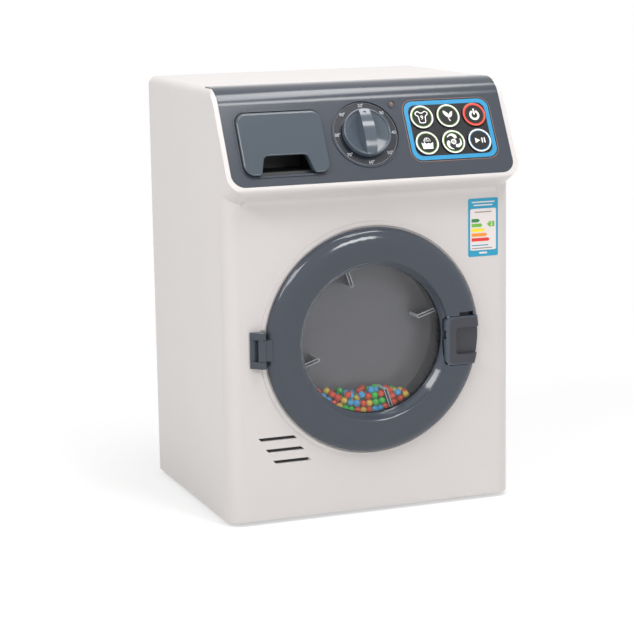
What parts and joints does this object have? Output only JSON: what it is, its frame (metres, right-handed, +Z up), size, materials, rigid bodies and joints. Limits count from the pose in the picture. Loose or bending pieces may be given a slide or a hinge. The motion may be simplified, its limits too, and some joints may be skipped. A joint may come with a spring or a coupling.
{
  "type": "toy washing machine",
  "caption": "Toy front-loading washing machine with a leaning console, turning dial, sprung keys, sliding drawer, hinged round door and bead-filled drum.",
  "frame": {"origin": "centre of the machine's width and depth, on the surface it stands on", "axes": "+X to the machine's right as seen from the front, +Z up; the front faces -Y"},
  "size_m": [0.206, 0.1738, 0.289],
  "materials": {
    "white_plastic": "satin",
    "console_grey": "satin",
    "ring_grey": "gloss",
    "knob_grey": "gloss",
    "dark_grey": "gloss",
    "black_gloss": "gloss",
    "drum_grey": "gloss",
    "clear_plastic": "clear gloss",
    "bead_colours": "gloss",
    "amber_clear": "clear gloss",
    "inner_white": "matt",
    "inner_dark": "matt",
    "board_green": "satin",
    "steel": "satin",
    "brass": "satin",
    "cell_jacket": "gloss",
    "rubber": "matt",
    "key_rubber": "matt"
  },
  "bodies": {
    "cabinet": {"cabinet_shell": "white_plastic", "rear_cover": "white_plastic", "rubber_feet": "rubber", "case_screws": "steel", "console_panel": "console_grey", "drawer_housing": "inner_dark", "dial_plate": "dark_grey", "click_spring": "steel", "key_fascia": "black_gloss", "key_mat": "key_rubber", "control_board": "board_green", "board_screws": "steel", "led": "amber_clear", "led_lens": "amber_clear", "hinge_bracket": "ring_grey", "hinge_pin": "steel", "latch_strike": "inner_dark", "drive_plate": "inner_dark", "drive_screws": "steel", "idler_pin": "steel", "gearbox_cover": "inner_dark", "gearbox_screws": "steel", "motor": "steel", "motor_clamp": "inner_dark", "speaker": "inner_dark", "batteries": "cell_jacket", "battery_contacts": "steel", "battery_cover": "white_plastic", "battery_screw": "steel"},
    "door": {"door_ring": "ring_grey", "door_back_ring": "dark_grey", "door_window": "clear_plastic", "door_screws": "steel", "handle_pin": "steel", "handle_spring": "steel"},
    "door_handle": {"door_handle": "dark_grey"},
    "drawer": {"drawer_front": "ring_grey", "drawer_tray": "inner_white"},
    "knob": {"knob": "knob_grey", "click_wheel": "inner_white", "knob_screw": "steel"},
    "key_wash": {"key_wash": "black_gloss"},
    "key_leaf": {"key_leaf": "black_gloss"},
    "key_power": {"key_power": "black_gloss"},
    "key_soak": {"key_soak": "black_gloss"},
    "key_spin": {"key_spin": "black_gloss"},
    "key_start": {"key_start": "black_gloss"},
    "drum": {"drum_front": "clear_plastic", "drum_wall": "black_gloss", "drum_back": "drum_grey", "beads": "bead_colours", "drum_shaft": "steel", "drum_gear": "inner_white"},
    "idler": {"idler_gear": "inner_white"},
    "rotor": {"motor_pinion": "brass"}
  },
  "joints": [
    {"name": "door_swing", "type": "hinge", "parent": "cabinet", "child": "door", "pos_m": [-0.0796, -0.07789, 0.119], "axis": [0, 0, -1], "range_deg": [0, 110]},
    {"name": "handle_lift", "type": "hinge", "parent": "door", "child": "door_handle", "pos_m": [0.0536, -0.07809, 0.1145], "axis": [0, 0, -1], "range_deg": [0, 20], "stiffness_Nm_per_rad": 0.05, "springref_deg": -11.46},
    {"name": "drawer_slide", "type": "slide", "parent": "cabinet", "child": "drawer", "axis": [0, -1, 0], "range_m": [0, 0.032]},
    {"name": "dial_turn", "type": "hinge", "parent": "cabinet", "child": "knob", "pos_m": [-0.002, -0.0706, 0.25667], "axis": [0, -0.8829, 0.4695], "continuous": true},
    {"name": "key_wash_press", "type": "slide", "parent": "cabinet", "child": "key_wash", "axis": [0, 0.8829, -0.4695], "range_m": [0, 0.0012], "stiffness_N_per_m": 400, "springref_m": -0.0005},
    {"name": "key_leaf_press", "type": "slide", "parent": "cabinet", "child": "key_leaf", "axis": [0, 0.8829, -0.4695], "range_m": [0, 0.0012], "stiffness_N_per_m": 400, "springref_m": -0.0005},
    {"name": "key_power_press", "type": "slide", "parent": "cabinet", "child": "key_power", "axis": [0, 0.8829, -0.4695], "range_m": [0, 0.0012], "stiffness_N_per_m": 400, "springref_m": -0.0005},
    {"name": "key_soak_press", "type": "slide", "parent": "cabinet", "child": "key_soak", "axis": [0, 0.8829, -0.4695], "range_m": [0, 0.0012], "stiffness_N_per_m": 400, "springref_m": -0.0005},
    {"name": "key_spin_press", "type": "slide", "parent": "cabinet", "child": "key_spin", "axis": [0, 0.8829, -0.4695], "range_m": [0, 0.0012], "stiffness_N_per_m": 400, "springref_m": -0.0005},
    {"name": "key_start_press", "type": "slide", "parent": "cabinet", "child": "key_start", "axis": [0, 0.8829, -0.4695], "range_m": [0, 0.0012], "stiffness_N_per_m": 400, "springref_m": -0.0005},
    {"name": "drum_spin", "type": "hinge", "parent": "cabinet", "child": "drum", "pos_m": [0, -0.07309, 0.119], "axis": [0, 1, 0], "continuous": true},
    {"name": "idler_spin", "type": "hinge", "parent": "cabinet", "child": "idler", "pos_m": [-0.02448, -0.07309, 0.1101], "axis": [0, 1, 0], "continuous": true},
    {"name": "rotor_spin", "type": "hinge", "parent": "cabinet", "child": "rotor", "pos_m": [-0.0327, -0.07309, 0.1327], "axis": [0, 1, 0], "continuous": true}
  ],
  "couplings": [
    {"joint": "idler_spin", "follows": "drum_spin", "ratio": -3.3333},
    {"joint": "rotor_spin", "follows": "drum_spin", "ratio": 10}
  ]
}
